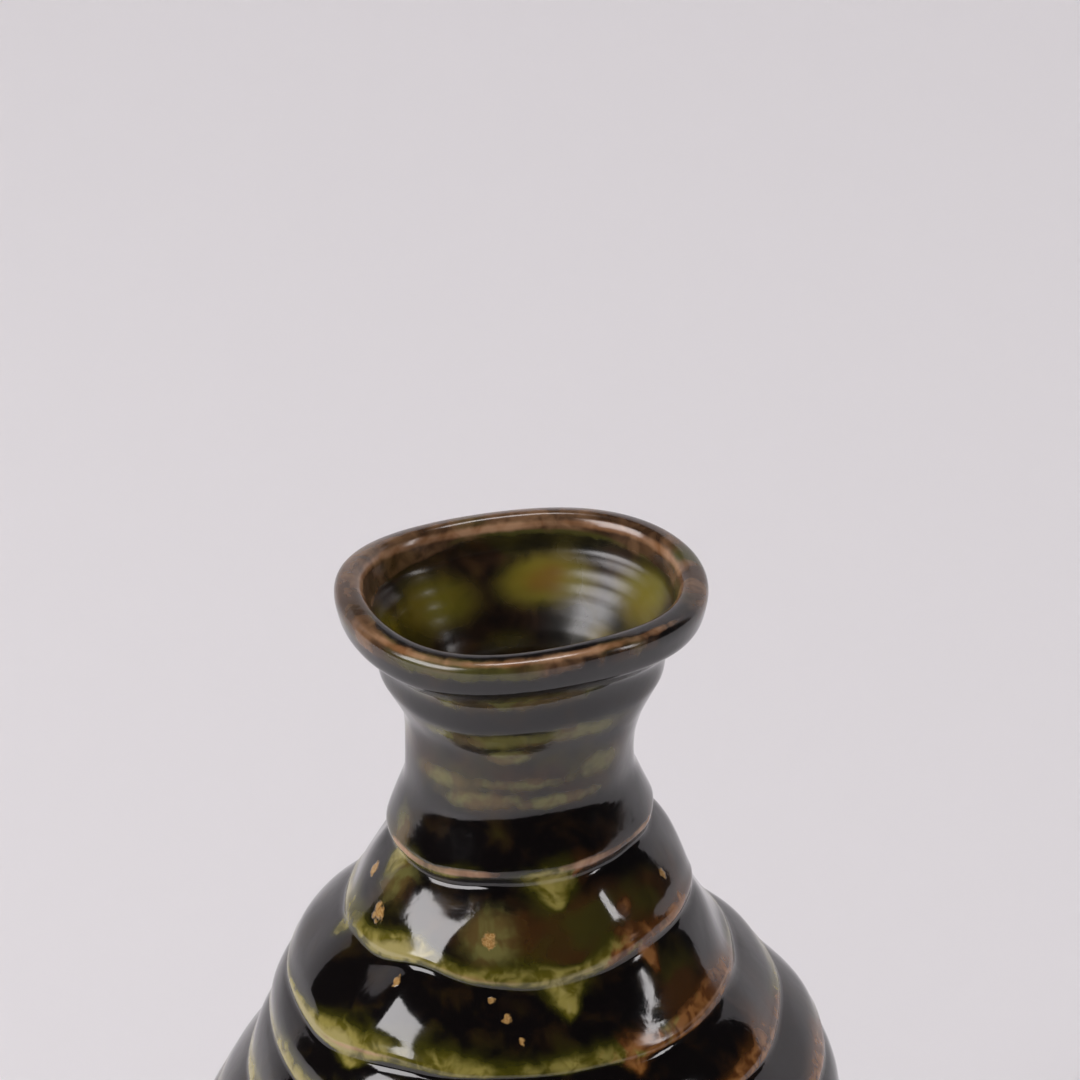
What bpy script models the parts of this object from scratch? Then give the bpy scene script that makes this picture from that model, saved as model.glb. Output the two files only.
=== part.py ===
"""Sake bottle: thrown stoneware body on a foot ring, luted neck, rolled lip, glazed outside and in.

Metres, +Z up. The foot stands on z = 0 around the Z axis and the lip's pouring side faces -Y.
Profiles are drawn in millimetres as (radius, height) and turned round the axis.
"""

import math

import bmesh
import bpy

MM = 0.001

SEGMENTS = 32
GLAZE = 0.30
GAP = 0.30

# Rolled lip
LIP_HEIGHT = 140.0
LIP_RADIUS = 17.15
LIP_WIDE = 1.6
LIP_TALL = 2.2
LIP_SQUARE = 0.65
LIP_ROLL = math.radians(-12.0)
OUTER_ARC = (-78.0, -40.0, -5.0, 32.0, 60.0, 91.0)
INNER_ARC = (196.0, 155.0, 108.0)

# Joints between the clay parts
LIP_JOINT = 136.2
NECK_JOINT = 114.5
FOOT_JOINT = 6.0

# Glaze line above the foot
GLAZE_LINE = 10.5

# Foot ring
FOOT_INNER_TOP = 22.4
FOOT_INNER_BASE = 23.2
FOOT_CHAMFER = 0.8

# Throwing rings, from the base of the neck down
RING_HEIGHTS = (114.4, 105.4, 97.2, 91.6, 85.6)
RING_PITCH = 7.5
RING_PITCH_CHANGE = 0.45
LOWEST_RING = 15.0
SHOULDER_SWELL = 0.80
BELLY_SWELL = 0.50
RIDGE = 0.20
NOTCH = 0.12
BAND_ROWS = (1.0, 0.86, 0.45)

# Outside of the wall through the notches of the rings, (height, radius)
WALL = (
    (0.0, 28.4),
    (8.0, 29.0),
    (18.0, 32.2),
    (33.0, 37.6),
    (49.0, 40.3),
    (57.0, 40.4),
    (70.0, 37.9),
    (78.1, 34.9),
    (85.6, 31.7),
    (91.6, 28.0),
    (97.2, 24.5),
    (105.4, 18.8),
    (114.4, 13.6),
)

# Outside of the neck and funnel, (radius, height)
NECK_OUTSIDE = (
    (14.15, 115.6),
    (14.0, 116.4),
    (13.5, 117.7),
    (12.85, 119.3),
    (12.25, 120.8),
    (12.02, 122.0),
    (11.98, 124.0),
    (12.1, 126.3),
    (12.5, 128.3),
    (13.15, 129.8),
    (14.1, 131.6),
    (14.55, 132.6),
    (14.85, 134.6),
    (15.4, 135.9),
    (16.6, 137.2),
)

# Space inside, from the middle of the floor up to the lip, (radius, height)
CAVITY = (
    (0.0, 10.2),
    (13.0, 10.8),
    (21.5, 13.6),
    (28.0, 19.6),
    (32.4, 28.0),
    (35.6, 40.0),
    (36.4, 54.0),
    (34.8, 66.0),
    (30.9, 78.0),
    (25.4, 88.5),
    (19.2, 98.0),
    (13.6, 106.5),
    (10.3, 113.0),
    (9.0, 119.0),
    (8.9, 124.5),
    (9.8, 129.5),
    (11.6, 133.2),
    (13.7, 136.4),
    (15.2, 138.3),
)

# Plan and height of the mouth, (times round, cosine part, sine part)
MOUTH_PLAN = ((1, 0.22, 1.14), (2, 0.39, 0.07), (3, 0.17, 0.47))
MOUTH_LIFT = ((1, 0.27, 0.16), (2, -0.13, 0.09), (3, -0.43, 0.14))

# Where the thrown wall leans off its axis towards +X, (height, reach, distance)
LEAN = ((86.5, 5.0, 1.35), (100.3, 5.0, -1.55), (128.5, 3.0, 0.30))


def smoothstep(low, high, value):
    """0 below low, 1 above high, and a soft ramp between them."""
    t = min(max((value - low) / (high - low), 0.0), 1.0)
    return t * t * (3.0 - 2.0 * t)


def waves(terms, turn):
    """Sum of cosine and sine waves round the axis."""
    return sum(c * math.cos(n * turn) + s * math.sin(n * turn) for n, c, s in terms)


def wall_radius(height):
    """Radius of the wall through the notches, on a smooth curve through WALL."""
    count = len(WALL)
    index = 0
    while index < count - 2 and height > WALL[index + 1][0]:
        index += 1

    def slope(at):
        before = WALL[max(at - 1, 0)]
        after = WALL[min(at + 1, count - 1)]
        return (after[1] - before[1]) / (after[0] - before[0])

    (z0, r0), (z1, r1) = WALL[index], WALL[index + 1]
    span = z1 - z0
    t = (height - z0) / span
    start = (2 * t**3 - 3 * t**2 + 1) * r0 + (t**3 - 2 * t**2 + t) * span * slope(index)
    end = (3 * t**2 - 2 * t**3) * r1 + (t**3 - t**2) * span * slope(index + 1)
    return start + end


def ring_heights():
    """Heights of the notches between the throwing rings, from the neck down."""
    heights = list(RING_HEIGHTS)
    while heights[-1] > LOWEST_RING + RING_PITCH:
        change = RING_PITCH_CHANGE * math.sin(2.1 * len(heights))
        heights.append(heights[-1] - RING_PITCH - change)
    return heights


def band_radius(upper, lower, p):
    """Radius in the band between two notches; p runs from 0 at the upper one to 1 at the lower."""
    middle = 0.5 * (upper + lower)
    swell = BELLY_SWELL + (SHOULDER_SWELL - BELLY_SWELL) * smoothstep(70.0, 90.0, middle)
    chord = wall_radius(upper) * (1.0 - p) + wall_radius(lower) * p
    round_out = swell * math.sin(math.pi * p**0.9)
    ridge = RIDGE * math.exp(-(((p - 0.86) / 0.08) ** 2))
    notch = NOTCH * math.exp(-((min(p, 1.0 - p) / 0.07) ** 2))
    return chord + round_out + ridge - notch


def squared(value):
    """A sine or cosine pushed outwards, so that an oval turns towards a rounded box."""
    return math.copysign(abs(value) ** LIP_SQUARE, value)


def arc(degrees, depth):
    """Points round the rolled edge of the lip, at a depth under its surface."""
    points = []
    for degree in degrees:
        turn = math.radians(degree)
        out = (LIP_WIDE - depth) * squared(math.cos(turn))
        up = (LIP_TALL - depth) * squared(math.sin(turn))
        r = LIP_RADIUS + out * math.cos(LIP_ROLL) - up * math.sin(LIP_ROLL)
        z = LIP_HEIGHT + out * math.sin(LIP_ROLL) + up * math.cos(LIP_ROLL)
        points.append((r, z))
    return points


def outside_curve(depth):
    """From the foot up to the top of the lip, at a depth under the glazed outside."""
    heights = ring_heights()
    curve = [(wall_radius(z), z) for z in (0.0, FOOT_JOINT, GLAZE_LINE)]
    for upper, lower in reversed(list(zip(heights, heights[1:]))):
        for p in BAND_ROWS:
            curve.append((band_radius(upper, lower, p), upper + (lower - upper) * p))
    curve.append((wall_radius(heights[0]), heights[0]))
    curve.extend(NECK_OUTSIDE)
    return offset(curve, depth) + arc(OUTER_ARC, depth)


def inside_curve(depth):
    """From the middle of the floor up to the top of the lip, at a depth under the lining."""
    return offset(CAVITY, -depth) + arc(INNER_ARC, depth)


def offset(curve, distance):
    """The curve moved to its left by distance, with mitred corners."""
    moved = []
    for i, (r, z) in enumerate(curve):
        before = curve[max(i - 1, 0)]
        after = curve[min(i + 1, len(curve) - 1)]
        first = unit(r - before[0], z - before[1]) or unit(after[0] - r, after[1] - z)
        second = unit(after[0] - r, after[1] - z) or first
        nr, nz = -(first[1] + second[1]), first[0] + second[0]
        size = math.hypot(nr, nz)
        nr, nz = nr / size, nz / size
        half = nr * -first[1] + nz * first[0]
        reach = distance / max(half, 0.6)
        moved.append((r + nr * reach, z + nz * reach))
    if curve[0][0] == 0.0:
        moved[0] = (0.0, moved[0][1])
    return moved


def unit(x, y):
    size = math.hypot(x, y)
    return (x / size, y / size) if size > 1e-9 else None


def between(curve, low, high):
    """The stretch of a rising curve from height low to height high."""
    kept = []
    for (r0, z0), (r1, z1) in zip(curve, curve[1:]):
        if z0 < low < z1:
            t = (low - z0) / (z1 - z0)
            kept.append((r0 + (r1 - r0) * t, low))
        if low <= z1 <= high and z1 > z0:
            kept.append((r1, z1))
        if z0 < high < z1:
            t = (high - z0) / (z1 - z0)
            kept.append((r0 + (r1 - r0) * t, high))
    return kept


def lean(z):
    """How far the axis stands towards +X at a height."""
    return sum(side * math.exp(-(((z - height) / reach) ** 2)) for height, reach, side in LEAN)


def hand_shaped(r, z, turn):
    """Moves one point of the turned form to where the potter's hand left it."""
    mouth = smoothstep(123.0, 138.0, z)
    rings = smoothstep(7.0, 22.0, z) * (1.0 - smoothstep(119.0, 127.0, z))
    plan = waves(MOUTH_PLAN, turn)
    lift = waves(MOUTH_LIFT, turn)
    round_body = 0.16 * math.cos(2.0 * turn + 0.04 * z) + 0.08 * math.cos(3.0 * turn - 0.07 * z)
    wave = 0.50 * math.cos(turn) + 0.28 * math.sin(2.0 * turn + 0.19 * z)
    wave += 0.20 * math.sin(3.0 * turn - 0.27 * z)
    share = min(r / 12.0, 1.0)
    return (
        r + share * (mouth * plan + rings * round_body + lean(z) * math.cos(turn)),
        z + share * (mouth * lift + rings * wave),
    )


def turned(name, profile, material, closed):
    """One clay or glaze part: the profile turned round the axis and shaped by hand."""
    bm = bmesh.new()
    rows = []
    for r, z in profile:
        row = []
        for i in range(1 if r == 0.0 else SEGMENTS):
            turn = 2.0 * math.pi * i / SEGMENTS
            wr, wz = hand_shaped(r, z, turn)
            co = (wr * math.cos(turn) * MM, wr * math.sin(turn) * MM, wz * MM)
            row.append(bm.verts.new(co))
        rows.append(row)
    if closed:
        rows.append(rows[0])
    for low, high in zip(rows, rows[1:]):
        for i in range(SEGMENTS):
            j = (i + 1) % SEGMENTS
            if len(low) == 1:
                bm.faces.new((low[0], high[j], high[i]))
            elif len(high) == 1:
                bm.faces.new((low[i], low[j], high[0]))
            else:
                bm.faces.new((low[i], low[j], high[j], high[i]))
    bmesh.ops.triangulate(bm, faces=bm.faces[:])
    if bm.calc_volume(signed=True) < 0.0:
        bmesh.ops.reverse_faces(bm, faces=bm.faces[:])
    mesh = bpy.data.meshes.new(name)
    bm.to_mesh(mesh)
    bm.free()
    mesh.materials.append(material)
    mesh.polygons.foreach_set("use_smooth", [True] * len(mesh.polygons))
    mesh.set_sharp_from_angle(angle=math.radians(50.0))
    part = bpy.data.objects.new(name, mesh)
    bpy.context.scene.collection.objects.link(part)
    return part


def surface(name, colour, roughness, metallic):
    material = bpy.data.materials.new(name)
    material.use_nodes = True
    shader = material.node_tree.nodes["Principled BSDF"]
    shader.inputs["Base Color"].default_value = (*colour, 1.0)
    shader.inputs["Roughness"].default_value = roughness
    shader.inputs["Metallic"].default_value = metallic
    return material


def clay(name, tone):
    return surface(name, (0.34 * tone, 0.19 * tone, 0.115 * tone), 0.85, 0.0)


def build():
    clay_outside = outside_curve(GLAZE + GAP)
    clay_inside = inside_curve(GLAZE + GAP)

    foot_side = between(clay_outside, FOOT_CHAMFER, FOOT_JOINT)
    foot = [(foot_side[0][0] - FOOT_CHAMFER, 0.0)] + foot_side
    foot += [(FOOT_INNER_TOP, FOOT_JOINT), (FOOT_INNER_BASE, 0.9), (FOOT_INNER_BASE + 0.6, 0.0)]
    turned("foot_ring", foot, clay("foot_clay", 0.92), closed=True)

    body_top = NECK_JOINT - GAP
    body = [(0.0, FOOT_JOINT + GAP)]
    body += between(clay_outside, FOOT_JOINT + GAP, body_top)
    body += reversed(between(clay_inside, 0.0, body_top))
    body += [clay_inside[0]]
    turned("body", body, clay("body_clay", 1.0), closed=False)

    neck_top = LIP_JOINT - GAP
    neck = between(clay_outside, NECK_JOINT, neck_top)
    neck += reversed(between(clay_inside, NECK_JOINT, neck_top))
    turned("neck", neck, clay("neck_clay", 1.0), closed=True)

    lip = between(clay_outside, LIP_JOINT, 200.0)
    lip += reversed(between(clay_inside, LIP_JOINT, 200.0))
    turned("lip_roll", lip, clay("lip_clay", 1.0), closed=True)

    skin = between(outside_curve(0.0), GLAZE_LINE - 0.01, 200.0)
    skin += reversed(between(outside_curve(GLAZE), GLAZE_LINE + 0.25, 200.0))
    glaze = surface("outer_glaze", (0.030, 0.016, 0.008), 0.12, 0.0)
    turned("outer_glaze", skin, glaze, closed=True)

    lining = inside_curve(0.0)
    lining += reversed(inside_curve(GLAZE))
    glaze = surface("inner_glaze", (0.040, 0.022, 0.010), 0.15, 0.0)
    turned("inner_glaze", lining, glaze, closed=False)


for old in list(bpy.data.objects):
    bpy.data.objects.remove(old, do_unlink=True)
build()
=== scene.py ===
"""Sake bottle, visual model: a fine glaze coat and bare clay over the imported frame."""

import math

import bpy
import numpy as np
from mathutils import Matrix, Vector


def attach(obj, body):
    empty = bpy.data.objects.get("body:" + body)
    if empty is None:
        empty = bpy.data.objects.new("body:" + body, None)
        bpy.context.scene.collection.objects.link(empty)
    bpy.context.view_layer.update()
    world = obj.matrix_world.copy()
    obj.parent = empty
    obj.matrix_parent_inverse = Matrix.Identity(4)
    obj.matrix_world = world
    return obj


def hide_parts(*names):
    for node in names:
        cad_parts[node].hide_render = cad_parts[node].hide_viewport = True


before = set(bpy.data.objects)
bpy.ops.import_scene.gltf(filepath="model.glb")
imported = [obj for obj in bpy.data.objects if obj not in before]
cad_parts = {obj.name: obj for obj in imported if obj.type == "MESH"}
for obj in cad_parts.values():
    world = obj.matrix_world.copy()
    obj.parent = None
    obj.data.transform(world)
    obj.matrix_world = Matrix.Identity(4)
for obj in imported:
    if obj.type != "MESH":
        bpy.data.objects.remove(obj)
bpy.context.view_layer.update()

MM = 0.001

# ---------------------------------------------------------------- the turned form, in millimetres

FOOT_JOINT = 6.0
GLAZE_LINE = 10.5
LIP_HEIGHT, LIP_RADIUS, LIP_WIDE, LIP_TALL = 140.0, 17.15, 1.6, 2.2
LIP_SQUARE, LIP_ROLL = 0.65, math.radians(-12.0)
RING_HEIGHTS = (114.4, 105.4, 97.2, 91.6, 85.6)
RING_PITCH, RING_PITCH_CHANGE, LOWEST_RING = 7.5, 0.45, 15.0
SHOULDER_SWELL, BELLY_SWELL = 0.80, 0.50
RIDGE, NOTCH = 0.20, 0.12
BAND_POINTS = 160
FINE_STEP = 0.05

# Outside of the wall through the notches of the rings: (height, radius).
WALL = (
    (0.0, 28.4),
    (8.0, 29.0),
    (18.0, 32.2),
    (33.0, 37.6),
    (49.0, 40.3),
    (57.0, 40.4),
    (70.0, 37.9),
    (78.1, 34.9),
    (85.6, 31.7),
    (91.6, 28.0),
    (97.2, 24.5),
    (105.4, 18.8),
    (114.4, 13.6),
)
# Outside of the neck and funnel: (radius, height).
NECK_OUTSIDE = (
    (14.15, 115.6),
    (14.0, 116.4),
    (13.5, 117.7),
    (12.85, 119.3),
    (12.25, 120.8),
    (12.02, 122.0),
    (11.98, 124.0),
    (12.1, 126.3),
    (12.5, 128.3),
    (13.15, 129.8),
    (14.1, 131.6),
    (14.55, 132.6),
    (14.85, 134.6),
    (15.4, 135.9),
    (16.6, 137.2),
)
# Space inside, from the middle of the floor up to the lip: (radius, height).
CAVITY = (
    (0.0, 10.2),
    (13.0, 10.8),
    (21.5, 13.6),
    (28.0, 19.6),
    (32.4, 28.0),
    (35.6, 40.0),
    (36.4, 54.0),
    (34.8, 66.0),
    (30.9, 78.0),
    (25.4, 88.5),
    (19.2, 98.0),
    (13.6, 106.5),
    (10.3, 113.0),
    (9.0, 119.0),
    (8.9, 124.5),
    (9.8, 129.5),
    (11.6, 133.2),
    (13.7, 136.4),
    (15.2, 138.3),
)
# Uneven plan and height of the mouth: (times round, cosine part, sine part).
MOUTH_PLAN = ((1, 0.22, 1.14), (2, 0.39, 0.07), (3, 0.17, 0.47))
MOUTH_LIFT = ((1, 0.27, 0.16), (2, -0.13, 0.09), (3, -0.43, 0.14))
# Where the wall leans off its axis towards +X: (height, reach, distance).
LEAN = ((86.5, 5.0, 1.35), (100.3, 5.0, -1.55), (128.5, 3.0, 0.30))


def smoothstep(low, high, value):
    """0 below low, 1 above high, and a soft ramp between them."""
    t = np.clip((value - low) / (high - low), 0.0, 1.0)
    return t * t * (3.0 - 2.0 * t)


def bell(value, centre, width):
    """1 at the centre, falling to 0 about two widths away."""
    return np.exp(-(((value - centre) / width) ** 2))


def round_bell(turn, degrees, width):
    """A bell round one direction; turn in radians, the rest in degrees."""
    away = (np.degrees(turn) - degrees + 180.0) % 360.0 - 180.0
    return np.exp(-((away / width) ** 2))


def waves(terms, turn):
    """Sum of cosine and sine waves round the axis."""
    return sum(c * np.cos(n * turn) + s * np.sin(n * turn) for n, c, s in terms)


def wall_radius(height):
    """Radius of the wall through the notches, on a smooth curve through WALL."""
    z = np.array([p[0] for p in WALL])
    r = np.array([p[1] for p in WALL])
    slopes = np.empty(len(z))
    slopes[1:-1] = (r[2:] - r[:-2]) / (z[2:] - z[:-2])
    slopes[0] = (r[1] - r[0]) / (z[1] - z[0])
    slopes[-1] = (r[-1] - r[-2]) / (z[-1] - z[-2])
    k = np.clip(np.searchsorted(z, height, side="right") - 1, 0, len(z) - 2)
    span = z[k + 1] - z[k]
    t = (height - z[k]) / span
    start = (2 * t**3 - 3 * t**2 + 1) * r[k] + (t**3 - 2 * t**2 + t) * span * slopes[k]
    end = (3 * t**2 - 2 * t**3) * r[k + 1] + (t**3 - t**2) * span * slopes[k + 1]
    return start + end


def ring_heights():
    """Heights of the notches, from the base of the neck down."""
    heights = list(RING_HEIGHTS)
    while heights[-1] > LOWEST_RING + RING_PITCH:
        change = RING_PITCH_CHANGE * math.sin(2.1 * len(heights))
        heights.append(heights[-1] - RING_PITCH - change)
    return heights


def band_curve(upper, lower):
    """One band of the wall between two notches, from the lower notch up."""
    p = np.linspace(1.0, 0.0, BAND_POINTS, endpoint=False)
    swell = BELLY_SWELL + (SHOULDER_SWELL - BELLY_SWELL) * smoothstep(
        70.0, 90.0, 0.5 * (upper + lower)
    )
    ends = wall_radius(np.array([upper, lower]))
    radius = ends[0] * (1.0 - p) + ends[1] * p
    radius = radius + swell * np.sin(np.pi * p**0.9)
    radius = radius + RIDGE * bell(p, 0.86, 0.08) - NOTCH * bell(np.minimum(p, 1.0 - p), 0.0, 0.07)
    return np.stack([radius, upper + (lower - upper) * p], 1)


def spline(points):
    """A smooth curve through the points."""
    pts = np.array(points, float)
    full = np.vstack([2 * pts[0] - pts[1], pts, 2 * pts[-1] - pts[-2]])
    t = np.linspace(0.0, 1.0, 24, endpoint=False)[:, None]
    out = []
    for a, b, c, d in zip(full, full[1:], full[2:], full[3:]):
        out.append(
            0.5
            * (2 * b + (c - a) * t + (2 * a - 5 * b + 4 * c - d) * t**2 + (3 * b - a - 3 * c + d) * t**3)
        )
    out.append(pts[-1:])
    return np.vstack(out)


def squared(value):
    """Flattens the sides of the roll of the lip."""
    return np.sign(value) * np.abs(value) ** LIP_SQUARE


def lip_arc(start, end, count):
    """Part of the roll of the lip, between two directions in degrees."""
    turn = np.radians(np.linspace(start, end, count))
    out, up = LIP_WIDE * squared(np.cos(turn)), LIP_TALL * squared(np.sin(turn))
    r = LIP_RADIUS + out * math.cos(LIP_ROLL) - up * math.sin(LIP_ROLL)
    return np.stack([r, LIP_HEIGHT + out * math.sin(LIP_ROLL) + up * math.cos(LIP_ROLL)], 1)


def arc_length(path):
    """Distance along a path to each of its points."""
    steps = np.hypot(*np.diff(path, axis=0).T)
    return np.concatenate([[0.0], np.cumsum(steps)])


def soften(path, width):
    """Rounds the corners of a path as glaze does, keeping its ends."""
    s = arc_length(path)
    even = np.arange(0.0, s[-1], FINE_STEP)
    fine = np.stack([np.interp(even, s, path[:, i]) for i in (0, 1)], 1)
    reach = int(width * 3 / FINE_STEP)
    kernel = bell(np.arange(-reach, reach + 1) * FINE_STEP, 0.0, width)
    kernel /= kernel.sum()
    padded = np.pad(fine, ((reach, reach), (0, 0)), mode="reflect", reflect_type="odd")
    soft = np.stack([np.convolve(padded[:, i], kernel, "valid") for i in (0, 1)], 1)
    return np.vstack([soft, path[-1:]])


HEIGHTS = ring_heights()


def coat_path():
    """The glazed surface from the glaze line, over the lip, to the middle of the floor inside."""
    low = np.linspace(GLAZE_LINE, HEIGHTS[-1], 40, endpoint=False)
    parts = [np.stack([wall_radius(low), low], 1)]
    for upper, lower in reversed(list(zip(HEIGHTS, HEIGHTS[1:]))):
        parts.append(band_curve(upper, lower))
    top = (float(wall_radius(np.array(HEIGHTS[0]))), HEIGHTS[0])
    parts.append(spline([top, *NECK_OUTSIDE]))
    parts.append(lip_arc(-78.0, 196.0, 90))
    parts.append(spline(CAVITY)[::-1])
    return soften(np.vstack(parts), 0.22)


PATH = coat_path()
PATH_S = arc_length(PATH)
TOP_S = PATH_S[np.argmax(PATH[:, 1])]


def path_s(height):
    """Where the outside reaches a height, along the path."""
    out = PATH_S <= TOP_S
    return float(np.interp(height, np.maximum.accumulate(PATH[out, 1]), PATH_S[out]))


# Where the ridges lie along the path: at the base of the neck, then near the foot of each band.
RIDGES = [path_s(115.5)]
RIDGES += [path_s(u + (w - u) * 0.88) for u, w in zip(HEIGHTS, HEIGHTS[1:])]


def lean(z):
    """How far the axis stands towards +X at a height."""
    return sum(side * bell(z, height, reach) for height, reach, side in LEAN)


def shaped(r, z, turn):
    """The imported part's own hand shaping."""
    mouth = smoothstep(123.0, 138.0, z)
    rings = smoothstep(7.0, 22.0, z) * (1.0 - smoothstep(119.0, 127.0, z))
    plan = waves(MOUTH_PLAN, turn)
    lift = waves(MOUTH_LIFT, turn)
    round_body = 0.16 * np.cos(2.0 * turn + 0.04 * z) + 0.08 * np.cos(3.0 * turn - 0.07 * z)
    wave = 0.50 * np.cos(turn) + 0.28 * np.sin(2.0 * turn + 0.19 * z)
    wave = wave + 0.20 * np.sin(3.0 * turn - 0.27 * z)
    share = np.minimum(r / 12.0, 1.0)
    return (
        r + share * (mouth * plan + rings * round_body + lean(z) * np.cos(turn)),
        z + share * (mouth * lift + rings * wave),
    )


# Waves of the fingers on the wall and on the rings: (times round, turn per mm, phase, size).
WOBBLE = (
    (4, 0.11, 0.4, 0.10),
    (5, -0.17, 1.9, 0.09),
    (7, 0.23, 3.1, 0.06),
    (9, -0.35, 0.8, 0.05),
    (13, 0.52, 2.2, 0.035),
)
RING_DRIFT = (
    (4, 0.21, 0.9, 0.20),
    (6, -0.30, 2.0, 0.15),
    (9, 0.43, 0.3, 0.09),
    (14, -0.6, 1.1, 0.05),
)


def wandering(terms, turn, z):
    """Sum of waves that run round the axis and drift with height."""
    return sum(a * np.sin(n * turn + m * z + p) for n, m, p, a in terms)


def fingered(r, z, turn):
    """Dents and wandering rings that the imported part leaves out."""
    body = smoothstep(12.0, 26.0, z) * (1.0 - smoothstep(112.0, 118.0, z))
    neck = smoothstep(112.0, 118.0, z) * (1.0 - smoothstep(131.0, 137.0, z))
    crease = round_bell(turn, 225.0, 5.0) * bell(z, 101.0, 9.0)
    dent = wandering(WOBBLE, turn, z) * (body + 0.5 * neck) - 0.12 * crease
    drift = wandering(RING_DRIFT, turn, z) * body
    kink = 0.5 * round_bell(turn, 240.0, 11.0) - 1.2 * round_bell(turn, 216.0, 12.0)
    drift = drift + kink * bell(z, 100.5, 7.0)
    return r + dent, z + drift


def surface(path, turn, fine=True):
    """Positions in millimetres of every path point at every direction: rows by columns by 3."""
    r, z = path[:, 0][:, None], path[:, 1][:, None]
    t = turn[None, :]
    near_axis = smoothstep(0.0, 12.0, r)
    wr, wz = shaped(r, z, t)
    if fine:
        fr, fz = fingered(r, z, t)
        wr, wz = wr + (fr - r) * near_axis, wz + (fz - z) * near_axis
    return np.stack([wr * np.cos(t), wr * np.sin(t), wz + 0.0 * t], -1)


def grid_normals(points):
    """Unit normals of a surface grid, facing to the right of its path."""
    along = np.gradient(points, axis=0)
    around = np.roll(points, -1, axis=1) - np.roll(points, 1, axis=1)
    normal = np.cross(around, along)
    size = np.linalg.norm(normal, axis=-1, keepdims=True)
    return normal / np.maximum(size, 1e-9)


def build_mesh(name, rows, material, closed):
    """A closed mesh from rows of points; a row of one point is a pole. Returns the object."""
    verts, starts = [], []
    count = max(len(row) for row in rows)
    total = 0
    for row in rows:
        starts.append(total)
        verts.append(np.asarray(row))
        total += len(row)
    faces = []
    here = np.arange(count)
    after = (here + 1) % count
    pairs = list(zip(range(len(rows)), range(1, len(rows))))
    if closed:
        pairs.append((len(rows) - 1, 0))
    for a, b in pairs:
        if len(rows[a]) == 1:
            apex = np.full(count, starts[a])
            faces += np.stack([apex, starts[b] + after, starts[b] + here], 1).tolist()
        elif len(rows[b]) == 1:
            apex = np.full(count, starts[b])
            faces += np.stack([starts[a] + here, starts[a] + after, apex], 1).tolist()
        else:
            quads = [starts[a] + here, starts[a] + after, starts[b] + after, starts[b] + here]
            faces += np.stack(quads, 1).tolist()
    mesh = bpy.data.meshes.new(name)
    mesh.from_pydata((np.vstack(verts) * MM).tolist(), [], faces)
    mesh.polygons.foreach_set("use_smooth", np.ones(len(faces), bool))
    mesh.materials.append(material)
    mesh.update()
    obj = bpy.data.objects.new(name, mesh)
    bpy.context.scene.collection.objects.link(obj)
    return obj


# ---------------------------------------------------------------- shader nodes


class Nodes:
    """Short calls for building one node tree."""

    def __init__(self, tree):
        self.tree = tree

    def add(self, kind, inputs=None, **settings):
        node = self.tree.nodes.new(kind)
        for key, value in settings.items():
            setattr(node, key, value)
        for key, value in (inputs or {}).items():
            self.put(node.inputs[key], value)
        return node

    def put(self, socket, value):
        if isinstance(value, bpy.types.NodeSocket):
            self.tree.links.new(value, socket)
        else:
            socket.default_value = value

    def math(self, operation, a, b=0.0):
        return self.add("ShaderNodeMath", {0: a, 1: b}, operation=operation).outputs[0]

    def ramp(self, value, low, high, to_low=0.0, to_high=1.0):
        """A soft ramp from to_low to to_high as the value goes from low to high."""
        inputs = {0: value, 1: low, 2: high, 3: to_low, 4: to_high}
        return self.add("ShaderNodeMapRange", inputs, interpolation_type="SMOOTHSTEP").outputs[0]

    def mix(self, factor, a, b):
        node = self.add("ShaderNodeMix", {0: factor, 6: a, 7: b}, data_type="RGBA")
        return node.outputs[2]

    def noise(self, vector, scale, detail=3.0, roughness=0.55, distortion=0.0):
        inputs = {
            "Vector": vector,
            "Scale": scale,
            "Detail": detail,
            "Roughness": roughness,
            "Distortion": distortion,
        }
        return self.add("ShaderNodeTexNoise", inputs).outputs[0]

    def millimetres(self):
        """Object coordinates in millimetres."""
        place = self.add("ShaderNodeTexCoord").outputs["Object"]
        inputs = {0: place, 3: 1000.0}
        return self.add("ShaderNodeVectorMath", inputs, operation="SCALE").outputs[0]

    def mark(self, name):
        """One painted mark of the coat, by name."""
        return self.add("ShaderNodeAttribute", attribute_name=name).outputs["Fac"]


def new_material(name):
    """A material with its node helper and its shader."""
    material = bpy.data.materials.new(name)
    material.use_nodes = True
    nodes = Nodes(material.node_tree)
    return material, nodes, material.node_tree.nodes["Principled BSDF"]


def rgb(r, g, b):
    return (r, g, b, 1.0)


GLAZE_IOR = 1.66

# Tan specks where grit shows through: (direction in degrees, height, size), in millimetres.
SPECKS = (
    (196.0, 111.6, 0.75),
    (212.0, 109.4, 0.95),
    (259.0, 110.1, 0.80),
    (261.0, 104.8, 0.42),
    (266.0, 103.6, 0.50),
    (270.0, 101.5, 0.42),
    (337.0, 110.8, 0.55),
    (231.0, 104.3, 0.60),
)


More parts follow.
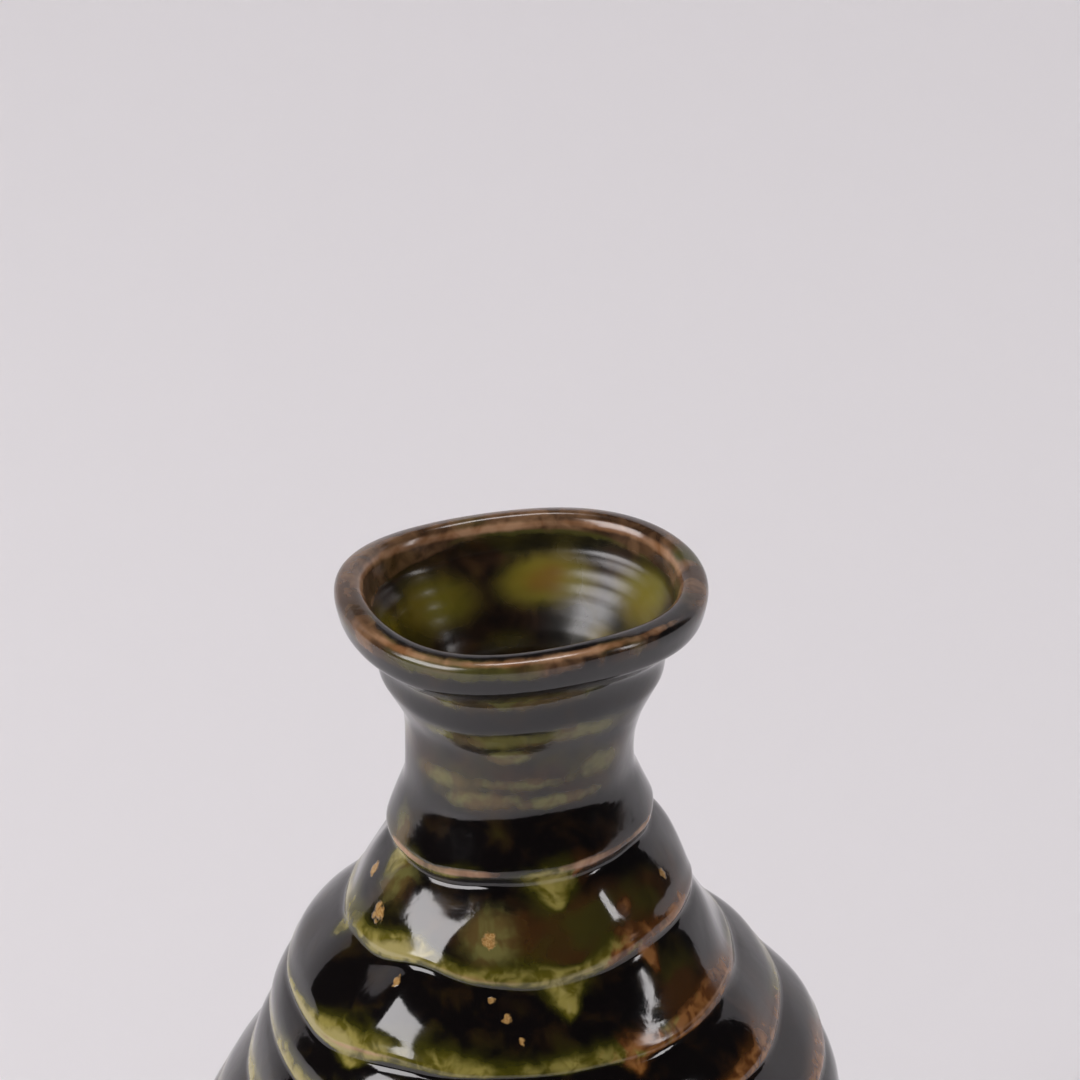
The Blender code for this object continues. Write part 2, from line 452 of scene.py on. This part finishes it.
def speck_mask(nodes, place):
    """1 on the placed specks, 0 elsewhere, with soft, ragged rims."""
    ragged = nodes.math("MULTIPLY", nodes.noise(place, 1.7, 1.0), 1.6)
    ragged = nodes.math("SUBTRACT", ragged, 0.65)
    total = None
    for degrees, height, size in SPECKS:
        turn = np.array([math.radians(degrees)])
        s = path_s(height)
        spot = np.array([[np.interp(s, PATH_S, PATH[:, 0]), height]])
        x, y, z = surface(spot, turn)[0, 0]
        inputs = {0: place, 1: (x, y, z)}
        away = nodes.add("ShaderNodeVectorMath", inputs, operation="SUBTRACT").outputs[0]
        inputs = {0: away, 1: (1.0, 1.0, 0.62)}
        away = nodes.add("ShaderNodeVectorMath", inputs, operation="MULTIPLY").outputs[0]
        reach = nodes.add("ShaderNodeVectorMath", {0: away}, operation="LENGTH").outputs["Value"]
        edge = nodes.math("ADD", nodes.math("DIVIDE", reach, size), ragged)
        one = nodes.ramp(edge, 0.65, 1.15, 1.0, 0.0)
        total = one if total is None else nodes.math("MAXIMUM", total, one)
    return total


def glaze_material():
    """Black-brown iron glaze that breaks to olive and rust on the ridges, with painted highlights on the
    tops of the ridges and along the front of the lip.
    """
    material, n, shader = new_material("iron_glaze")
    place = n.millimetres()
    wide = n.noise(place, 0.11, 2.0)
    blotch = n.noise(place, 0.30, 3.0, 0.5, 0.5)
    feather = n.noise(place, 0.62, 2.0, 0.45, 0.5)
    grain = n.noise(place, 5.0, 2.0, 0.5)

    def swayed(mark, amount, source=feather):
        """A mark with its edge pushed about by noise."""
        return n.math("ADD", mark, n.math("MULTIPLY", n.math("SUBTRACT", source, 0.5), amount))

    # The dark glaze, browner in patches.
    brown_share = n.ramp(blotch, 0.50, 0.72)
    base = n.mix(brown_share, rgb(0.0022, 0.0014, 0.0013), rgb(0.012, 0.0055, 0.0018))
    warm = n.ramp(swayed(n.mark("warm"), 0.9, blotch), 0.30, 0.90)
    warm_colour = n.mix(n.ramp(wide, 0.44, 0.56), rgb(0.042, 0.017, 0.0035), rgb(0.036, 0.030, 0.0040))
    base = n.mix(warm, base, warm_colour)

    # Olive or rusty breaks on the ridges, with a dark halo, and thin clouds on the neck. The olive turns
    # paler on the tops of the strongest breaks: a painted highlight.
    crest = swayed(swayed(n.mark("crest"), 0.26), 0.70, blotch)
    mark = n.ramp(crest, 0.34, 0.86)
    halo = n.ramp(crest, 0.03, 0.55)
    rust = swayed(n.mark("rust"), 1.1, blotch)
    rust_share = n.ramp(rust, 0.42, 0.60)

    olive_and_highlight = n.mix(n.ramp(feather, 0.36, 0.62), rgb(0.085, 0.072, 0.004), rgb(0.245, 0.208, 0.048))
    # Painted highlight: a paler olive on the tops of the strongest breaks.
    olive_and_highlight = n.mix(n.ramp(crest, 0.85, 1.25), olive_and_highlight, rgb(0.31, 0.265, 0.095))
    rusty = n.mix(n.ramp(feather, 0.36, 0.62), rgb(0.085, 0.028, 0.004), rgb(0.24, 0.100, 0.026))
    break_and_highlight_colour = n.mix(rust_share, olive_and_highlight, rusty)
    dark_break = n.mix(rust_share, rgb(0.036, 0.034, 0.0015), rgb(0.045, 0.016, 0.002))
    colour = n.mix(halo, base, dark_break)
    haze = n.ramp(swayed(n.mark("haze"), 0.55), 0.12, 0.85, 0.0, 0.90)
    haze_colour = n.mix(n.ramp(blotch, 0.42, 0.58), rgb(0.135, 0.124, 0.036), rgb(0.095, 0.062, 0.018))
    colour = n.mix(haze, colour, haze_colour)
    colour = n.mix(mark, colour, break_and_highlight_colour)

    # Pools inside the mouth, the lip, and the thin tan lines where the glaze runs off an edge, which also
    # carry a painted highlight along the front of the lip.
    pool = n.ramp(swayed(n.mark("pool"), 0.30, blotch), 0.12, 0.85)
    pool_colour = n.mix(n.ramp(wide, 0.38, 0.62), rgb(0.165, 0.130, 0.003), rgb(0.150, 0.078, 0.003))
    pool_colour = n.mix(n.ramp(n.mark("pool"), 0.7, 1.2, 0.6, 0.0), pool_colour, rgb(0.120, 0.108, 0.006))
    colour = n.mix(pool, colour, pool_colour)

    lip_brown = n.mix(n.ramp(blotch, 0.35, 0.65), rgb(0.040, 0.019, 0.008), rgb(0.165, 0.088, 0.042))
    lip_olive = n.math("MULTIPLY", n.ramp(wide, 0.44, 0.58), n.ramp(n.mark("lip"), 0.95, 0.70))
    lip_colour = n.mix(lip_olive, lip_brown, rgb(0.062, 0.057, 0.012))
    colour = n.mix(n.ramp(swayed(n.mark("lip"), 0.6), 0.30, 0.75), colour, lip_colour)

    # The tan lines, and the painted highlight along the front of the lip.
    line_and_highlight = n.ramp(swayed(n.mark("rim"), 0.55), 0.35, 0.95)
    line_and_highlight_colour = n.mix(n.ramp(blotch, 0.35, 0.65), rgb(0.22, 0.100, 0.040), rgb(0.38, 0.220, 0.120))
    colour = n.mix(line_and_highlight, colour, line_and_highlight_colour)

    specks = speck_mask(n, place)
    speck_colour = n.mix(n.ramp(grain, 0.3, 0.7), rgb(0.28, 0.145, 0.040), rgb(0.42, 0.265, 0.100))
    colour = n.mix(specks, colour, speck_colour)
    n.put(shader.inputs["Base Color"], colour)

    rough = n.ramp(blotch, 0.3, 0.75, 0.07, 0.12)
    rough = n.math("ADD", rough, n.math("MULTIPLY", mark, 0.05))
    rough = n.math("ADD", rough, n.mark("satin"))
    n.put(shader.inputs["Roughness"], rough)
    shader.inputs["IOR"].default_value = GLAZE_IOR

    height = n.math("ADD", n.math("MULTIPLY", feather, 0.08), n.math("MULTIPLY", blotch, 0.6))
    height = n.math("ADD", height, n.math("MULTIPLY", specks, 0.5))
    height = n.math("ADD", height, n.math("MULTIPLY", grain, 0.01))
    bump = n.add("ShaderNodeBump", {"Strength": 0.5, "Distance": 0.00012, "Height": height})
    n.put(shader.inputs["Normal"], bump.outputs[0])
    return material


def clay_material():
    """Fired clay, reddish tan, sandy, with dark grit."""
    material, n, shader = new_material("bare_clay")
    place = n.millimetres()
    wide = n.noise(place, 0.12, 3.0)
    sand = n.noise(place, 2.6, 5.0, 0.7)
    grit = n.noise(place, 1.1, 2.0, 0.5)
    colour = n.mix(n.ramp(wide, 0.3, 0.7), rgb(0.24, 0.125, 0.070), rgb(0.36, 0.205, 0.125))
    colour = n.mix(n.ramp(sand, 0.35, 0.75, 0.0, 0.5), colour, rgb(0.46, 0.31, 0.21))
    colour = n.mix(n.ramp(grit, 0.70, 0.76), colour, rgb(0.05, 0.026, 0.016))
    n.put(shader.inputs["Base Color"], colour)
    n.put(shader.inputs["Roughness"], n.ramp(sand, 0.2, 0.8, 0.72, 0.92))
    height = n.math("ADD", sand, n.math("MULTIPLY", wide, 0.5))
    bump = n.add("ShaderNodeBump", {"Strength": 0.6, "Distance": 0.00025, "Height": height})
    n.put(shader.inputs["Normal"], bump.outputs[0])
    return material


# ---------------------------------------------------------------- the glaze coat

COLUMNS = 208
COAT = 0.35
MARKS_SEED, EDGE_SEED = 11, 5
LAST_ROW_GAP = 3.0
# The coat's lower edge: how far it waves up and down, over what height, and how thick it rolls.
EDGE_WAVE, EDGE_RAISE, EDGE_REACH, EDGE_ROLL = 0.9, 0.3, 7.0, 0.30
# Throwing ripples inside the funnel: depth, distance between them, and how far they wander.
RIPPLE_DEPTH, RIPPLE_PITCH, RIPPLE_DRIFT = 0.045, 1.6, 3.0
# Distance between rows of the coat at places along the path: (place, distance).
ROW_STEPS = (
    (0.0, 0.12),
    (1.2, 0.30),
    (3.0, 0.85),
    (path_s(76.0), 0.80),
    (path_s(84.0), 0.50),
    (path_s(117.0), 0.42),
    (path_s(136.0), 0.45),
    (TOP_S - 4.0, 0.32),
    (TOP_S + 3.0, 0.35),
    (TOP_S + 14.0, 0.55),
    (TOP_S + 26.0, 1.2),
    (TOP_S + 45.0, 3.0),
    (PATH_S[-1] - 30.0, 4.0),
    (PATH_S[-1], 4.0),
)


def coat_rows():
    """Positions along the path of the rows of the coat: close on the shoulder, wide where hidden."""
    at, step = zip(*ROW_STEPS)
    s = [0.0]
    while s[-1] < PATH_S[-1] - LAST_ROW_GAP:
        s.append(s[-1] + float(np.interp(s[-1], at, step)))
    return np.array(s)


def ripple(turn, rng, low, high):
    """Smooth random waves round the axis, about -1 to 1."""
    total = np.zeros_like(turn)
    for n in range(low, high + 1):
        total += rng.normal() * np.sin(n * turn + rng.uniform(0.0, 2.0 * np.pi))
    return total / math.sqrt(0.5 * (high - low + 1)) * 0.6


# Runs of glaze below a ridge: (ridge, direction in degrees, width, length), in millimetres.
RUNS = (
    (0, 285.0, 3.4, 4.2),
    (0, 205.0, 2.4, 4.6),
    (1, 284.0, 2.5, 5.4),
    (1, 316.0, 1.5, 4.4),
    (1, 196.0, 1.8, 3.0),
    (2, 300.0, 2.0, 2.4),
    (2, 226.0, 3.0, 2.4),
)
# Thin olive clouds on the neck and the first band, with the same columns as POOLS.
CLOUDS = (
    (262.0, 130.9, 6.5, 0.9, 0.85),
    (236.0, 131.0, 3.5, 0.8, 0.75),
    (298.0, 131.0, 5.0, 0.9, 0.85),
    (275.0, 136.0, 7.0, 1.0, 0.75),
    (240.0, 135.8, 4.0, 0.9, 0.65),
    (265.0, 128.7, 1.8, 0.7, 1.10),
    (227.0, 124.8, 3.2, 0.8, 0.85),
    (250.0, 123.2, 3.6, 0.8, 0.95),
    (290.0, 122.8, 4.2, 0.7, 0.90),
    (270.0, 125.2, 5.5, 0.6, 0.60),
    (315.0, 126.1, 2.4, 1.4, 0.80),
    (212.0, 112.8, 1.8, 1.8, 1.00),
    (205.0, 117.5, 1.5, 2.0, 0.85),
    (259.0, 110.1, 2.0, 1.9, 1.15),
    (180.0, 127.0, 3.0, 1.5, 0.80),
    (60.0, 124.0, 3.0, 1.5, 0.80),
    (120.0, 122.0, 4.0, 1.2, 0.80),
)
# Olive pools inside the mouth: (direction in degrees, height, width, depth, amount).
POOLS = (
    (77.0, 135.8, 4.9, 2.2, 1.25),
    (132.0, 135.2, 5.4, 2.8, 0.85),
    (29.0, 136.6, 3.8, 2.8, 1.05),
    (40.0, 131.6, 2.2, 1.4, 0.90),
    (96.0, 130.5, 4.0, 1.6, 0.40),
    (170.0, 135.6, 4.0, 2.4, 0.70),
    (220.0, 135.0, 4.6, 2.4, 0.90),
    (300.0, 136.0, 4.4, 2.2, 1.00),
    (350.0, 134.5, 3.2, 2.0, 0.80),
)


def sideways(turn, degrees):
    """Angle from a direction in degrees, from -pi to pi."""
    return (turn - math.radians(degrees) + np.pi) % (2 * np.pi) - np.pi


def spots(places, radius, height, turn, wider=1.0, deeper=1.0):
    """Soft oval spots: the strongest one at each point of the coat."""
    total = np.zeros((len(radius), turn.size))
    for degrees, z, width, depth, amount in places:
        side = sideways(turn, degrees)
        round_part = (side * radius / (wider * width)) ** 2
        total = np.maximum(total, amount * np.exp(-round_part - ((height - z) / (deeper * depth)) ** 2))
    return total


def ridge_marks(s, turn, rng):
    """Glaze breaking above each ridge, and the thin line where it leaves the edge."""
    t = turn[None, :]
    crest = np.zeros((len(s), len(turn)))
    rim = np.zeros_like(crest)
    for k, at in enumerate(RIDGES):
        neck_base = k == 0
        above = s[:, None] - at
        wide = 1.7 + 0.8 * ripple(turn, rng, 3, 11)[None, :]
        wide = np.clip(1.25 * wide, 0.9, 3.6) * (0.6 if neck_base else 1.0)
        power = 0.85 + 0.35 * ripple(turn, rng, 2, 9)[None, :]
        power = power + 0.40 * round_bell(t, 225.0, 28.0) - 0.12 * round_bell(t, 265.0, 10.0)
        power = np.clip(power, 0.15, 1.4) * (0.45 if neck_base else 1.0)
        up = np.exp(-((np.maximum(above, 0.0) / wide) ** 2))
        down = 1.0 - smoothstep(0.2, 0.8, -above)
        crest = np.maximum(crest, power * np.where(above > 0.0, up, down))
        thin = np.clip(0.40 + 0.5 * ripple(turn, rng, 2, 8)[None, :], 0.0, 1.0)
        if neck_base:
            thin = 0.75 + 0.40 * ripple(turn, rng, 3, 9)[None, :] - 0.4 * round_bell(t, 277.0, 12.0)
        rim = np.maximum(rim, thin * bell(above, 0.1 + 0.25 * neck_base, 0.42 + 0.10 * neck_base))
    return crest, rim


def run_marks(s, radius, turn):
    """Tapering runs of olive glaze below the ridges."""
    total = np.zeros((len(s), turn.size))
    for k, degrees, width, length in RUNS:
        below = (RIDGES[k] - s[:, None]) / length
        narrow = width * np.clip(1.15 - below, 0.05, 1.15)
        run = np.exp(-((sideways(turn, degrees) * radius / narrow) ** 2))
        run = run * (below > -0.1) * (1 - smoothstep(0.75, 1.1, below))
        total = np.maximum(total, 0.95 * run)
    return total


def warm_mark(height, t):
    """Where the dark glaze turns brown outside: the first bands, the waist and the belly."""
    warm = bell(height, 110.0, 3.6) * (0.75 * round_bell(t, 292.0, 34.0) + 0.5)
    warm = warm + 0.85 * bell(height, 101.5, 3.4) * round_bell(t, 322.0, 17.0)
    return warm + 0.62 * bell(height, 126.0, 5.2) + 0.45 * (1.0 - smoothstep(60.0, 95.0, height))


def lip_marks(over, turn, rng):
    """Brown of the lip, the thin tan lines along its inner edge, and a painted highlight along its front.
    """
    t = turn[None, :]
    far = smoothstep(-0.6, 0.2, np.sin(t))
    low = far * (3.2 + 0.8 * np.sin(2 * t + 0.6) + 2.2 * round_bell(t, 160.0, 50.0)) - 0.8
    brown = smoothstep(-4.6, -2.4, over) * (1.0 - smoothstep(low - 0.6, low + 1.2, over))
    share = 0.60 + 0.40 * np.maximum(round_bell(t, 165.0, 80.0), far) - 0.35 * round_bell(t, 350.0, 30.0)
    brown = brown * (share + 0.15 * ripple(turn, rng, 3, 12)[None, :])
    back = 0.15 + 0.75 * smoothstep(-0.75, -0.1, np.sin(t)) + 0.2 * ripple(turn, rng, 3, 12)[None, :]
    lines = back * bell(over, 1.2 + 0.5 * np.sin(t), 0.65)
    # A painted highlight: a tan line along the front of the roll of the lip.
    front_highlight = smoothstep(0.1, 0.7, -np.sin(t)) * (0.80 + 0.25 * ripple(turn, rng, 3, 12)[None, :])
    return brown, np.maximum(lines, front_highlight * bell(over, -1.3, 0.65))


def coat_marks(s, path, turn):
    """The painted marks of the coat as rows by columns, mostly 0 to 1."""
    rng = np.random.default_rng(MARKS_SEED)
    t = turn[None, :]
    radius, height = path[:, 0][:, None], path[:, 1][:, None]
    outside = (s < TOP_S)[:, None]
    over = s[:, None] - TOP_S

    crest, rim = ridge_marks(s, turn, rng)
    crest = np.maximum(crest, run_marks(s, radius, t)) * outside
    rust = 0.95 * round_bell(t, 324.0, 27.0) + 0.30 * round_bell(t, 196.0, 16.0)
    rust = rust + 0.28 * ripple(turn, rng, 2, 7)[None, :] + 0.12 * np.sin(0.31 * height + 3.0 * t)
    blotches = round_bell(t, 311.0, 5.0) * bell(height, 110.4, 1.3)
    # The lip's lines hold its thin tan lines and the painted highlight along its front.
    brown, lines = lip_marks(over, turn, rng)
    satin = 0.09 * smoothstep(-4.6, -2.4, over)
    marks = {
        "crest": np.maximum(crest, 0.75 * blotches * outside),
        "haze": spots(CLOUDS, radius, height, t, 1.4, 1.3) * outside,
        "rust": np.clip(rust + blotches, 0.0, 1.2),
        # The rim lines include the painted highlight along the front of the lip.
        "rim": np.maximum(rim * outside, lines),
        "lip": brown,
        "pool": spots(POOLS, radius, height, t) * (over > 1.0),
        "warm": np.where(outside, warm_mark(height, t), 0.55),
        "satin": satin + (0.05 + 0.11 * round_bell(t, 15.0, 45.0)) * smoothstep(2.0, 4.0, over),
    }
    return {name: np.broadcast_to(values, crest.shape) for name, values in marks.items()}


def glaze_coat():
    """The glaze outside and inside as one closed shell, with its marks as attributes."""
    turn = np.arange(COLUMNS) * 2.0 * np.pi / COLUMNS
    s = coat_rows()
    path = np.stack([np.interp(s, PATH_S, PATH[:, i]) for i in (0, 1)], 1)
    points = surface(path, turn)
    normals = grid_normals(points)
    if normals[10, 0, 0] < 0.0:
        normals = -normals
    rng = np.random.default_rng(EDGE_SEED)

    # The coat ends above the foot in a thick, uneven edge.
    near = np.exp(-s / EDGE_REACH)[:, None]
    points[..., 2] += near * (EDGE_WAVE * ripple(turn, rng, 2, 9) + EDGE_RAISE)[None, :]
    roll = EDGE_ROLL * bell(s, 0.9, 0.7)[:, None] - COAT * (1.0 - smoothstep(0.0, 0.5, s))[:, None]
    points += normals * roll[..., None]
    # Throwing ripples inside the funnel.
    over = s - TOP_S
    inside = smoothstep(3.0, 6.0, over) * (1.0 - smoothstep(16.0, 24.0, over))
    drift = RIPPLE_DRIFT * (0.5 * ripple(turn, rng, 1, 4)[None, :])
    wavy = RIPPLE_DEPTH * np.sin(2.0 * np.pi * over[:, None] / RIPPLE_PITCH + drift) * inside[:, None]
    points += normals * (wavy * (0.7 + 0.3 * np.sin(turn * 2.0 + 1.0))[None, :])[..., None]

    # The hidden side is coarser: every third row, a coat's thickness behind.
    hidden = np.unique(np.concatenate([np.arange(2, len(s) - 1, 3), [len(s) - 1]]))
    back = points[hidden] - normals[hidden] * COAT
    floor = np.array([[0.0, 0.0, PATH[-1, 1]]])
    rows = [floor - (0.0, 0.0, COAT), *back[::-1], *points, floor]
    coat = build_mesh("glaze_coat", rows, glaze_material(), closed=False)

    marks = coat_marks(s, path, turn)
    for name, values in marks.items():
        both = [np.zeros(1), values[hidden][::-1].ravel(), values.ravel(), np.zeros(1)]
        attribute = coat.data.attributes.new(name, "FLOAT", "POINT")
        attribute.data.foreach_set("value", np.concatenate(both).astype(np.float32))
    return coat


# ---------------------------------------------------------------- the clay under it

CLAY_SEGMENTS = 144
BARE_INSET, GLAZED_INSET = 0.37, 0.75


def clay_rows(profile):
    """Rows of a turned clay piece; a profile point on the axis becomes a pole."""
    turn = np.arange(CLAY_SEGMENTS) * 2.0 * np.pi / CLAY_SEGMENTS
    points = surface(np.array(profile, float), turn, fine=False)
    return [row if profile[i][0] > 0.0 else row[:1] for i, row in enumerate(points)]


def inset_wall(low, high, count, inset):
    """The outside of the wall between two heights, set in by a distance."""
    return [(float(wall_radius(np.array(z))) - inset, z) for z in np.linspace(low, high, count)]


def clay_parts(material):
    """The thrown body, shown under the glaze line, and the foot ring below it."""
    wall = inset_wall(6.05, 14.0, 18, BARE_INSET) + inset_wall(18.0, 114.1, 40, GLAZED_INSET)
    inner = [(r + GLAZED_INSET, z) for r, z in CAVITY[3:13]][::-1]
    floor = [(r + 0.2, z - 0.8) for r, z in CAVITY[1:3]][::-1]
    profile = [(0.0, 6.5), (10.0, 6.45), (21.0, 6.3), (22.2, 6.05)] + wall
    profile += inner + floor + [(0.0, 9.4)]
    body = build_mesh("thrown_body", clay_rows(profile), material, closed=False)

    rise = inset_wall(1.1, FOOT_JOINT, 12, BARE_INSET)
    edge = rise[0][0]
    foot = [(edge - 1.15, 0.0), (edge - 0.75, 0.08), (edge - 0.35, 0.35), (edge - 0.08, 0.75)]
    foot += rise
    foot += [(22.2, FOOT_JOINT), (22.35, 5.0), (22.6, 3.0), (22.9, 1.2)]
    foot += [(23.1, 0.6), (23.5, 0.12), (23.9, 0.0)]
    ring = build_mesh("foot_ring_clay", clay_rows(foot), material, closed=True)
    return body, ring


coat = glaze_coat()
clay = clay_material()
body, ring = clay_parts(clay)

for obj in (coat, body, ring):
    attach(obj, "root")
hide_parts("outer_glaze", "inner_glaze")
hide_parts("body")
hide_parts("foot_ring")
for name in ("neck", "lip_roll"):
    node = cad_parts[name]
    node.data.materials.clear()
    node.data.materials.append(clay)

# ---------------------------------------------------------------- studio


SHEET_STEPS = 72


def turned_sheet(name, profile, first, last, glossy, material):
    """Part of a round pale backdrop, between two directions in degrees."""
    verts = []
    for r, z in profile:
        for i in range(SHEET_STEPS + 1):
            a = math.radians(first + (last - first) * i / SHEET_STEPS)
            verts.append((r * math.cos(a), r * math.sin(a), z))
    faces = []
    for j in range(len(profile) - 1):
        for i in range(SHEET_STEPS):
            k = j * (SHEET_STEPS + 1) + i
            faces.append((k, k + 1, k + SHEET_STEPS + 2, k + SHEET_STEPS + 1))
    mesh = bpy.data.meshes.new(name)
    mesh.from_pydata(verts, [], faces)
    mesh.polygons.foreach_set("use_smooth", [True] * len(faces))
    mesh.materials.append(material)
    obj = bpy.data.objects.new(name, mesh)
    bpy.context.scene.collection.objects.link(obj)
    obj.visible_glossy = glossy
    return obj


pale, _, pale_shader = new_material("pale_paper")
pale_shader.inputs["Base Color"].default_value = rgb(0.795, 0.777, 0.791)
pale_shader.inputs["Roughness"].default_value = 0.9
# A flat table that bends up into a wall, as (radius, height) in metres.
BEND_START, BEND, BEND_STEPS, WALL_TOP = 1.05, 0.45, 12, 1.3
sweep = [(0.0, 0.0), (0.3, 0.0), (0.6, 0.0), (0.85, 0.0), (BEND_START, 0.0)]
for k in range(1, BEND_STEPS + 1):
    a = math.radians(90.0 * k / BEND_STEPS)
    sweep.append((BEND_START + BEND * math.sin(a), BEND * (1.0 - math.cos(a))))
sweep.append((BEND_START + BEND, WALL_TOP))
# The glaze mirrors the table all round, but the wall only behind the bottle: the front is dark.
LOW = 7
stage = [
    turned_sheet("table", sweep[: LOW + 1], 0.0, 360.0, True, pale),
    turned_sheet("backdrop", sweep[LOW:], 28.0, 158.0, True, pale),
    turned_sheet("backdrop_front", sweep[LOW:], 158.0, 388.0, False, pale),
]


LAMP_COLOUR = (1.0, 0.97, 0.985)
LAMP_TARGET = Vector((0.0, 0.0, 0.1))


def softbox(name, direction, distance, width, height, power):
    """A rectangular lamp that faces the bottle; the camera doesn't see it, but the glaze does."""
    light = bpy.data.lights.new(name, "AREA")
    light.shape = "RECTANGLE"
    light.size, light.size_y = width, height
    light.energy = power
    light.color = LAMP_COLOUR
    obj = bpy.data.objects.new(name, light)
    towards = Vector(direction).normalized()
    obj.location = towards * distance + LAMP_TARGET
    obj.rotation_mode = "QUATERNION"
    obj.rotation_quaternion = towards.to_track_quat("Z", "Y")
    obj.visible_camera = False
    bpy.context.scene.collection.objects.link(obj)
    return obj


def aim_at(azimuth, elevation):
    """The direction from the bottle to a lamp, from its angles in degrees."""
    az, el = math.radians(azimuth), math.radians(elevation)
    return (math.cos(az) * math.cos(el), math.sin(az) * math.cos(el), math.sin(el))


softbox("window_left", aim_at(205.0, 26.0), 1.2, 0.74, 0.56, 8.0)
softbox("window_right", aim_at(347.0, 22.0), 1.2, 0.12, 0.44, 1.0)
softbox("ceiling", aim_at(90.0, 84.0), 2.5, 1.5, 0.46, 17.0)
fill = bpy.data.lights.new("fill", "SUN")
fill.energy = 0.74
fill.angle = math.radians(60.0)
fill_lamp = bpy.data.objects.new("fill", fill)
fill_lamp.rotation_euler = (math.radians(25.0), math.radians(-12.0), 0.0)
fill_lamp.visible_glossy = False
bpy.context.scene.collection.objects.link(fill_lamp)

world = bpy.data.worlds.new("room")
bpy.context.scene.world = world
world.use_nodes = True
room = Nodes(world.node_tree)
sky = world.node_tree.nodes["Background"]
seen = room.add("ShaderNodeLightPath").outputs["Is Camera Ray"]
UNSEEN, SEEN = rgb(0.03, 0.028, 0.03), rgb(0.66, 0.63, 0.65)
room.put(sky.inputs["Color"], room.mix(seen, UNSEEN, SEEN))
sky.inputs["Strength"].default_value = 1.0

# ---------------------------------------------------------------- camera

ELEVATION, DISTANCE, ROLL = math.radians(25.54), 0.380, math.radians(-0.57)
FRAME_WIDTH, SENSOR_WIDTH = 0.1115, 36.0
TARGET, RISE = Vector((0.00239, 0.0, 0.140)), 0.00657
ahead = Vector((0.0, math.cos(ELEVATION), -math.sin(ELEVATION)))
up = Vector((0.0, math.sin(ELEVATION), math.cos(ELEVATION)))
right = Vector((1.0, 0.0, 0.0))
aim = TARGET + up * RISE
rolled_right = right * math.cos(ROLL) + up * math.sin(ROLL)
rolled_up = up * math.cos(ROLL) - right * math.sin(ROLL)
camera = bpy.data.objects.new("camera", bpy.data.cameras.new("camera"))
camera.data.sensor_width = SENSOR_WIDTH
camera.data.lens = SENSOR_WIDTH * DISTANCE / FRAME_WIDTH
camera.data.clip_start = 0.01
camera.matrix_world = Matrix.Translation(aim - ahead * DISTANCE) @ Matrix(
    (rolled_right, rolled_up, -ahead)
).transposed().to_4x4()
bpy.context.scene.collection.objects.link(camera)
bpy.context.scene.camera = camera
bpy.context.scene.view_settings.view_transform = "Standard"
